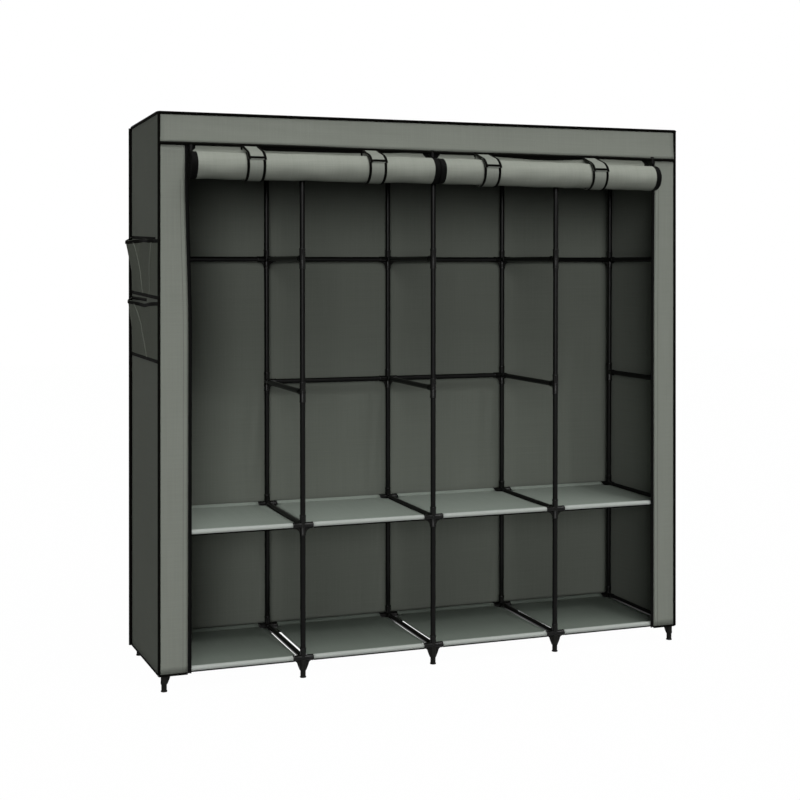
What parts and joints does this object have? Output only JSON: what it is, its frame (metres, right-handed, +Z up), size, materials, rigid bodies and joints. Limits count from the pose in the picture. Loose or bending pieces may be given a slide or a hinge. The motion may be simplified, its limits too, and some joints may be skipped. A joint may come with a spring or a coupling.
{
  "type": "portable fabric wardrobe",
  "caption": "Free-standing tube-frame wardrobe with a sewn cloth cover, rolled-up zip doors held by straps, cloth shelves, hanging rods and side pockets.",
  "frame": {"origin": "on the floor, under the middle of the whole wardrobe with its rolled doors and side pockets", "axes": "+X to the right along the width seen from the open front, +Y towards the closed back, +Z up"},
  "size_m": [1.7518, 0.5458, 1.6799],
  "materials": {
    "painted_steel": "semi-gloss black powder coat, with black moulded connectors",
    "shelf_cloth": "matt non-woven cloth",
    "cover_cloth": "matt grey woven cloth with black binding",
    "strap_cloth": "matt grey cloth with black edges",
    "zip_black": "black zip tape and sliders"
  },
  "bodies": {
    "wardrobe": {"front_post_1": "painted_steel", "front_post_2": "painted_steel", "front_post_3": "painted_steel", "front_post_4": "painted_steel", "front_post_5": "painted_steel", "rear_post_1": "painted_steel", "rear_post_2": "painted_steel", "rear_post_3": "painted_steel", "rear_post_4": "painted_steel", "rear_post_5": "painted_steel", "top_front_rod_1": "painted_steel", "top_front_rod_2": "painted_steel", "top_front_rod_3": "painted_steel", "top_front_rod_4": "painted_steel", "top_rear_rod_1": "painted_steel", "top_rear_rod_2": "painted_steel", "top_rear_rod_3": "painted_steel", "top_rear_rod_4": "painted_steel", "upper_rear_rod_1": "painted_steel", "upper_rear_rod_2": "painted_steel", "upper_rear_rod_3": "painted_steel", "upper_rear_rod_4": "painted_steel", "middle_rear_rod_2": "painted_steel", "middle_rear_rod_3": "painted_steel", "hanging_rod_1": "painted_steel", "hanging_rod_2": "painted_steel", "hanging_rod_3": "painted_steel", "hanging_rod_4": "painted_steel", "lower_shelf_1": "shelf_cloth", "lower_shelf_2": "shelf_cloth", "lower_shelf_3": "shelf_cloth", "lower_shelf_4": "shelf_cloth", "upper_shelf_1": "shelf_cloth", "upper_shelf_2": "shelf_cloth", "upper_shelf_3": "shelf_cloth", "upper_shelf_4": "shelf_cloth", "cover_top": "cover_cloth", "cover_side_left": "cover_cloth", "cover_side_right": "cover_cloth", "cover_back": "cover_cloth", "cover_header": "cover_cloth", "cover_strip_left": "cover_cloth", "cover_strip_right": "cover_cloth", "zipper_tape_left": "zip_black", "zipper_tape_right": "zip_black", "strap_1": "strap_cloth", "strap_2": "strap_cloth", "strap_3": "strap_cloth", "strap_4": "strap_cloth", "pocket_upper": "cover_cloth", "pocket_lower": "cover_cloth"},
    "left_door": {"door_roll_left": "cover_cloth"},
    "right_door": {"door_roll_right": "cover_cloth"},
    "flap_1": {"strap_flap_1": "strap_cloth"},
    "flap_2": {"strap_flap_2": "strap_cloth"},
    "flap_3": {"strap_flap_3": "strap_cloth"},
    "flap_4": {"strap_flap_4": "strap_cloth"},
    "left_slider": {"zip_slider_left": "zip_black"},
    "centre_slider": {"zip_slider_centre": "zip_black"},
    "right_slider": {"zip_slider_right": "zip_black"}
  },
  "joints": [
    {"name": "left_door_travel", "type": "slide", "parent": "wardrobe", "child": "left_door", "axis": [0, 0, 1], "range_m": [-1.431, 0], "deforming": ["strap_1", "strap_2"]},
    {"name": "right_door_travel", "type": "slide", "parent": "wardrobe", "child": "right_door", "axis": [0, 0, 1], "range_m": [-1.431, 0], "deforming": ["strap_3", "strap_4"]},
    {"name": "flap_1_swing", "type": "hinge", "parent": "wardrobe", "child": "flap_1", "pos_m": [-0.57016, -0.1911, 1.59112], "axis": [-1, 0, 0], "range_deg": [0, 100]},
    {"name": "flap_2_swing", "type": "hinge", "parent": "wardrobe", "child": "flap_2", "pos_m": [-0.19928, -0.1911, 1.59112], "axis": [-1, 0, 0], "range_deg": [0, 100]},
    {"name": "flap_3_swing", "type": "hinge", "parent": "wardrobe", "child": "flap_3", "pos_m": [0.17208, -0.1911, 1.59112], "axis": [-1, 0, 0], "range_deg": [0, 100]},
    {"name": "flap_4_swing", "type": "hinge", "parent": "wardrobe", "child": "flap_4", "pos_m": [0.54296, -0.1911, 1.59112], "axis": [-1, 0, 0], "range_deg": [0, 100]},
    {"name": "left_slider_travel", "type": "slide", "parent": "wardrobe", "child": "left_slider", "axis": [0, 0, 1], "range_m": [-1.431, 0]},
    {"name": "centre_slider_travel", "type": "slide", "parent": "wardrobe", "child": "centre_slider", "axis": [0, 0, 1], "range_m": [-1.431, 0]},
    {"name": "right_slider_travel", "type": "slide", "parent": "wardrobe", "child": "right_slider", "axis": [0, 0, 1], "range_m": [-1.431, 0]}
  ],
  "couplings": [
    {"joint": "left_slider_travel", "follows": "left_door_travel", "ratio": 1},
    {"joint": "centre_slider_travel", "follows": "left_door_travel", "ratio": 1},
    {"joint": "right_slider_travel", "follows": "right_door_travel", "ratio": 1}
  ]
}
